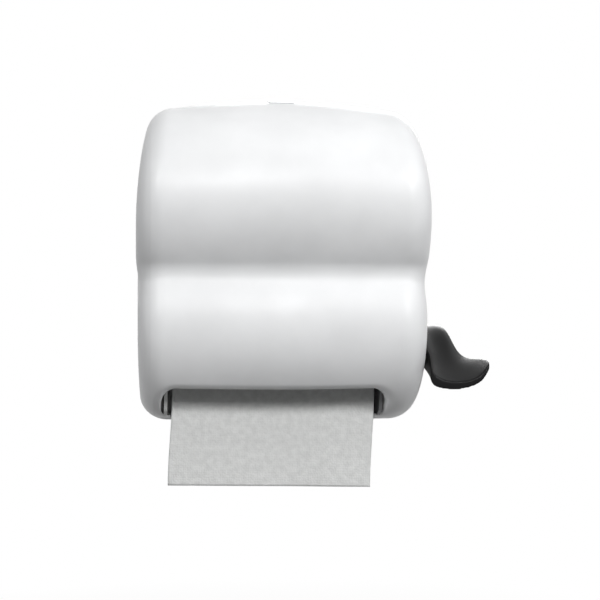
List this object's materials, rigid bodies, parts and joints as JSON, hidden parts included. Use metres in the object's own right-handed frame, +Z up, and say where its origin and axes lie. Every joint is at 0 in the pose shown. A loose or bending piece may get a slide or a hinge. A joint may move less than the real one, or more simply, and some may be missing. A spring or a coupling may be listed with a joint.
{
  "type": "lever paper towel dispenser",
  "caption": "Wall-mounted lever dispenser for rolled paper towel, with a hinged double-bulge cover, a geared feed roller, a sprung pinch roller and a serrated tear bar.",
  "frame": {"origin": "centre of the four wall screws on the wall plane, behind the cabinet tray", "axes": "+Y into the wall, -Y towards the user, +Z up, +X towards the lever"},
  "size_m": [0.3646, 0.221, 0.4028],
  "materials": {
    "cover_white": "fine satin white moulding",
    "cabinet_white": "matt white moulding",
    "frame_grey": "matt grey moulding",
    "lever_black": "satin black moulding",
    "steel": "plated steel",
    "spring_steel": "spring wire",
    "stainless": "stamped stainless sheet",
    "rubber_grey": "soft grip rubber",
    "drum_grey": "matt dark moulding",
    "gear_nylon": "natural nylon",
    "towel_paper": "embossed towel paper",
    "cardboard": "wound cardboard",
    "lock_zinc": "plated zinc",
    "plate_grey": "light grey inlay"
  },
  "bodies": {
    "cabinet": {"cabinet_tray": "cabinet_white", "side_frame_left": "cabinet_white", "side_frame_right": "frame_grey", "gear_plate": "frame_grey", "case_screws": "steel", "frame_screws": "steel", "roll_arm_left": "cabinet_white", "arm_bracket": "cabinet_white", "arm_hinge_pin": "steel", "towel_web": "towel_paper", "guide_bar": "steel", "feed_bushes": "gear_nylon", "idler_stud": "steel", "idler_clip": "spring_steel", "lever_bushes": "gear_nylon", "lever_spring": "spring_steel", "rest_bumper": "rubber_grey", "pinch_pivots": "steel", "pinch_springs": "spring_steel", "spring_bar": "stainless", "tear_bar": "stainless", "tear_bar_screws": "steel", "hinge_pins": "steel", "lock_catch": "stainless"},
    "lever": {"lever": "lever_black", "lever_pin": "steel", "lever_shaft": "steel", "sector_gear": "gear_nylon"},
    "idler": {"idler_gear": "gear_nylon"},
    "pinion": {"pinion_gear": "gear_nylon"},
    "feed_roller": {"feed_shaft": "steel", "feed_drum": "drum_grey", "feed_rings": "rubber_grey", "feed_clips": "spring_steel", "clutch_sleeve": "steel"},
    "pinch_frame": {"pinch_bracket": "stainless", "pinch_axle": "steel"},
    "pinch_roller": {"pinch_roller": "drum_grey"},
    "towel_roll": {"hub_left": "drum_grey", "towel_core": "cardboard", "towel_roll": "towel_paper"},
    "hub_right": {"hub_right": "drum_grey"},
    "roll_arm_right": {"roll_arm_right": "cabinet_white", "arm_spring": "spring_steel"},
    "towel_tail": {"towel_tail": "towel_paper"},
    "cover": {"cover": "cover_white", "cover_hinge_arms": "cover_white", "lock_plate": "plate_grey", "lock_barrel": "lock_zinc", "lock_nut": "lock_zinc"},
    "lock": {"lock_plug": "lock_zinc", "lock_cam": "stainless"}
  },
  "joints": [
    {"name": "lever_swing", "type": "hinge", "parent": "cabinet", "child": "lever", "pos_m": [0.113, -0.04861, -0.08805], "axis": [1, 0, 0], "range_deg": [0, 50], "stiffness_Nm_per_rad": 0.6, "springref_deg": -34.38},
    {"name": "idler_turn", "type": "hinge", "parent": "cabinet", "child": "idler", "pos_m": [0.113, -0.10475, -0.08451], "axis": [1, 0, 0], "range_deg": [-206, 0]},
    {"name": "pinion_turn", "type": "hinge", "parent": "cabinet", "child": "pinion", "pos_m": [0.113, -0.116, -0.104], "axis": [1, 0, 0], "range_deg": [0, 206]},
    {"name": "feed_turn", "type": "hinge", "parent": "cabinet", "child": "feed_roller", "pos_m": [-0.0075, -0.116, -0.104], "axis": [1, 0, 0], "range_deg": [0, 206]},
    {"name": "pinch_swing", "type": "hinge", "parent": "cabinet", "child": "pinch_frame", "pos_m": [-0.0075, -0.16, -0.08], "axis": [-1, 0, 0], "range_deg": [0, 8], "stiffness_Nm_per_rad": 3, "springref_deg": -5.73, "deforming": ["pinch_springs"]},
    {"name": "pinch_turn", "type": "hinge", "parent": "pinch_frame", "child": "pinch_roller", "pos_m": [-0.0075, -0.151, -0.104], "axis": [1, 0, 0], "range_deg": [-494.4, 0]},
    {"name": "roll_turn", "type": "hinge", "parent": "cabinet", "child": "towel_roll", "pos_m": [-0.0075, -0.09, 0.058], "axis": [1, 0, 0], "range_deg": [0, 65.9]},
    {"name": "roll_arm_flex", "type": "hinge", "parent": "cabinet", "child": "roll_arm_right", "pos_m": [0.10425, -0.013, 0.058], "axis": [0, 0, 1], "range_deg": [0, 12], "stiffness_Nm_per_rad": 2, "springref_deg": -2.86},
    {"name": "hub_turn", "type": "hinge", "parent": "roll_arm_right", "child": "hub_right", "pos_m": [0.095, -0.09, 0.058], "axis": [1, 0, 0], "range_deg": [0, 65.9]},
    {"name": "towel_feed", "type": "slide", "parent": "cabinet", "child": "towel_tail", "axis": [0, 0, -1], "range_m": [0, 0.0863]},
    {"name": "cover_open", "type": "hinge", "parent": "cabinet", "child": "cover", "pos_m": [0, -0.025, -0.1515], "axis": [1, 0, 0], "range_deg": [0, 90]},
    {"name": "lock_turn", "type": "hinge", "parent": "cover", "child": "lock", "pos_m": [0, -0.075, 0.155], "axis": [0, 0, 1], "range_deg": [0, 90]}
  ],
  "couplings": [
    {"joint": "idler_turn", "follows": "lever_swing", "ratio": -4},
    {"joint": "pinion_turn", "follows": "lever_swing", "ratio": 4},
    {"joint": "feed_turn", "follows": "lever_swing", "ratio": 4},
    {"joint": "pinch_turn", "follows": "lever_swing", "ratio": -9.6},
    {"joint": "roll_turn", "follows": "lever_swing", "ratio": 1.28},
    {"joint": "hub_turn", "follows": "lever_swing", "ratio": 1.28},
    {"joint": "towel_feed", "follows": "lever_swing", "m_per_rad": 0.096}
  ]
}
